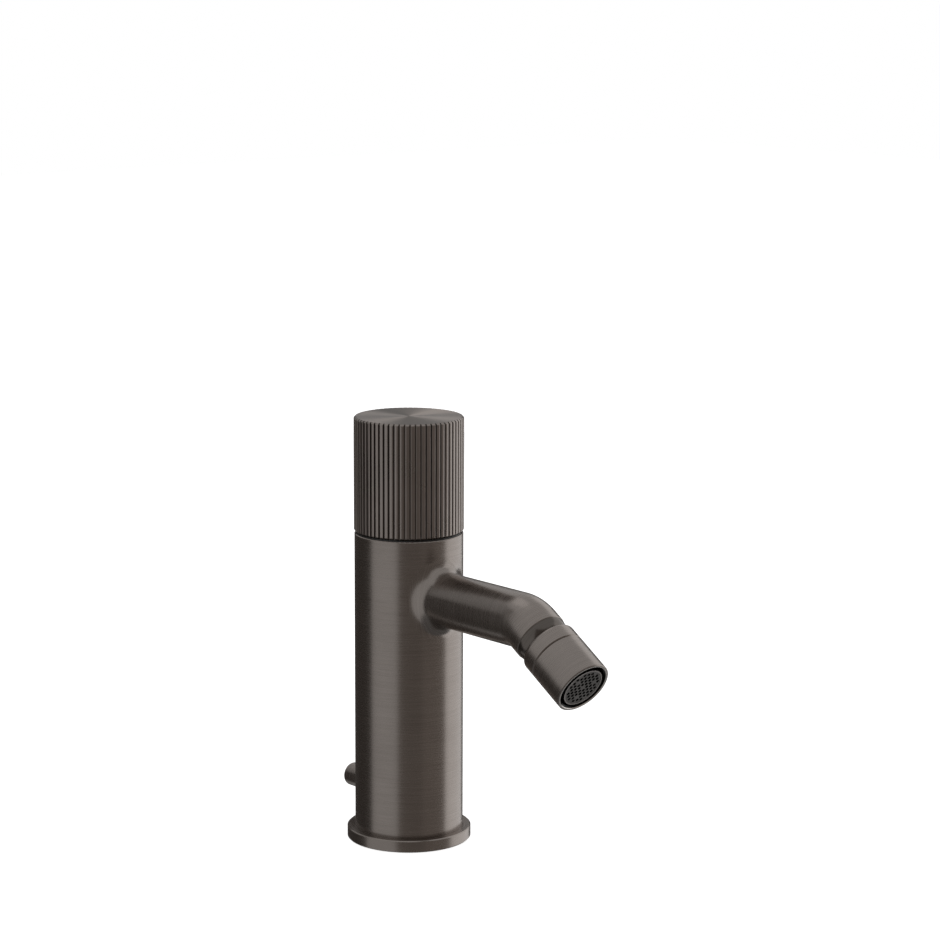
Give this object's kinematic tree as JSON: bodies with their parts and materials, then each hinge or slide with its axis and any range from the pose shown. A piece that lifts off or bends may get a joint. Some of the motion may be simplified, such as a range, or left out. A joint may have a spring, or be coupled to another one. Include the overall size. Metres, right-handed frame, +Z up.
{
  "type": "bidet mixer",
  "caption": "Column bidet mixer with a turning top knob, a short bent spout, a ball-jointed nozzle and a waste-lifting knob behind the foot.",
  "frame": {"origin": "middle of the column, on the deck under the foot ring", "axes": "+Z up along the column, the spout points along -Y, the cold inlet is on +X"},
  "size_m": [0.0506, 0.1493, 0.1743],
  "materials": {
    "gunmetal": "brushed gunmetal plating",
    "brass": "turned brass",
    "steel": "stainless steel, turned",
    "ceramic": "lapped technical ceramic",
    "acetal": "moulded acetal",
    "dark_acetal": "moulded dark acetal",
    "rubber": "black sealing rubber"
  },
  "bodies": {
    "fixed_body": {"column": "gunmetal", "spout": "gunmetal", "base_flange": "gunmetal", "base_gasket": "rubber", "base_block": "brass", "rod_guide": "acetal", "tie_rods": "steel", "cold_inlet_tube": "brass", "hot_inlet_tube": "brass", "tube_o_rings": "rubber", "valve_core": "brass", "core_o_rings": "rubber", "cartridge_base": "acetal", "port_seals": "rubber", "lower_disc": "ceramic", "limit_ring": "acetal", "cartridge_housing": "acetal", "cartridge_nut": "brass", "knob_glide_ring": "dark_acetal", "drain_slot_guide": "dark_acetal", "swivel_ball": "gunmetal", "swivel_seal": "rubber"},
    "turning_knob": {"knob": "gunmetal", "knob_grub_screw": "steel", "handle_adapter": "brass", "spindle_screw": "steel", "cartridge_spindle": "brass", "spindle_o_ring": "rubber", "disc_driver": "acetal", "upper_disc": "ceramic"},
    "waste_lift": {"drain_knob": "gunmetal", "drain_pin": "steel", "drain_carriage": "acetal"},
    "tilt_liner": {"swivel_liner": "acetal"},
    "tilt_stud": {"swivel_stud": "brass", "stud_nut": "brass"},
    "nozzle": {"nozzle_collar": "gunmetal", "nozzle_sleeve": "gunmetal", "aerator_seal": "rubber", "aerator_cage": "dark_acetal", "aerator_screens": "steel", "aerator_grid": "dark_acetal"}
  },
  "joints": [
    {"name": "knob_turn", "type": "hinge", "parent": "fixed_body", "child": "turning_knob", "pos_m": [0, 0, 0.15], "axis": [0, 0, 1], "range_deg": [0, 120]},
    {"name": "waste_lift", "type": "slide", "parent": "fixed_body", "child": "waste_lift", "axis": [0, 0, 1], "range_m": [0, 0.015]},
    {"name": "nozzle_pitch", "type": "hinge", "parent": "fixed_body", "child": "tilt_liner", "pos_m": [0, -0.08067, 0.0983], "axis": [1, 0, 0], "range_deg": [-12, 12]},
    {"name": "nozzle_yaw", "type": "hinge", "parent": "tilt_liner", "child": "tilt_stud", "pos_m": [0, -0.08067, 0.0983], "axis": [0, -0.5225, 0.8526], "range_deg": [-12, 12]},
    {"name": "nozzle_spin", "type": "hinge", "parent": "tilt_stud", "child": "nozzle", "pos_m": [0, -0.08067, 0.0983], "axis": [0, -0.8526, -0.5225], "continuous": true}
  ]
}
